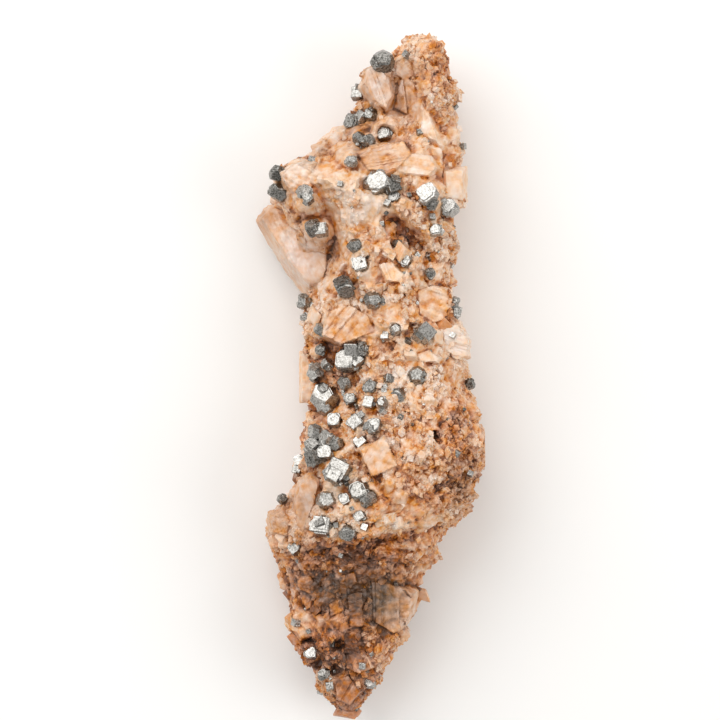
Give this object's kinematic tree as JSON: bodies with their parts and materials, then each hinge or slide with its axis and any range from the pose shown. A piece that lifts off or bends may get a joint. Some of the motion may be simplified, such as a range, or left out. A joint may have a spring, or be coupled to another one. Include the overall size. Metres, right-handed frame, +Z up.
{
  "type": "dolomite with pyrite mineral specimen",
  "caption": "Elongated hand-size mineral specimen: peach dolomite matrix with blocky crystals, studded with steel-grey pyrite, lying on its broken back.",
  "frame": {"origin": "centre of the bounding box on the surface the specimen rests on", "axes": "+Z up out of the crystal-covered face, +Y along the specimen towards the narrow spire, +X across it"},
  "size_m": [0.0533, 0.1567, 0.0365],
  "materials": {
    "dolomite": "peach to orange-brown, sugary with smooth cleavage faces",
    "pyrite": "steel-grey metallic, bright on flat faces"
  },
  "bodies": {
    "root": {"dolomite_matrix": "dolomite", "pyrite_cluster_01": "pyrite", "pyrite_foot_01": "pyrite", "pyrite_foot_02": "pyrite", "pyrite_foot_03": "pyrite", "pyrite_foot_04": "pyrite", "pyrite_foot_05": "pyrite", "pyrite_foot_06": "pyrite", "pyrite_foot_07": "pyrite", "pyrite_foot_08": "pyrite", "pyrite_foot_09": "pyrite", "pyrite_foot_10": "pyrite", "pyrite_foot_11": "pyrite", "pyrite_foot_12": "pyrite", "pyrite_foot_13": "pyrite", "pyrite_foot_14": "pyrite", "pyrite_hollow_01": "pyrite", "pyrite_hollow_02": "pyrite", "pyrite_hollow_03": "pyrite", "pyrite_hollow_04": "pyrite", "pyrite_hollow_05": "pyrite", "pyrite_hollow_06": "pyrite", "pyrite_hollow_07": "pyrite", "pyrite_hollow_08": "pyrite", "pyrite_hollow_09": "pyrite", "pyrite_hollow_10": "pyrite", "pyrite_hollow_11": "pyrite", "pyrite_hollow_12": "pyrite", "pyrite_hollow_13": "pyrite", "pyrite_hollow_14": "pyrite", "pyrite_hollow_15": "pyrite", "pyrite_hollow_16": "pyrite", "pyrite_hollow_17": "pyrite", "pyrite_shoulder_01": "pyrite", "pyrite_shoulder_02": "pyrite", "pyrite_shoulder_03": "pyrite", "pyrite_shoulder_04": "pyrite", "pyrite_shoulder_05": "pyrite", "pyrite_shoulder_06": "pyrite", "pyrite_shoulder_07": "pyrite", "pyrite_shoulder_08": "pyrite", "pyrite_shoulder_09": "pyrite", "pyrite_shoulder_10": "pyrite", "pyrite_shoulder_11": "pyrite", "pyrite_shoulder_12": "pyrite", "pyrite_shoulder_13": "pyrite", "pyrite_spire_01": "pyrite", "pyrite_spire_02": "pyrite", "pyrite_spire_03": "pyrite", "pyrite_spire_04": "pyrite", "pyrite_spire_05": "pyrite", "pyrite_spire_06": "pyrite", "pyrite_waist_01": "pyrite", "pyrite_waist_02": "pyrite", "pyrite_waist_03": "pyrite", "pyrite_waist_04": "pyrite", "pyrite_waist_05": "pyrite", "pyrite_waist_06": "pyrite", "pyrite_waist_07": "pyrite"}
  },
  "joints": []
}
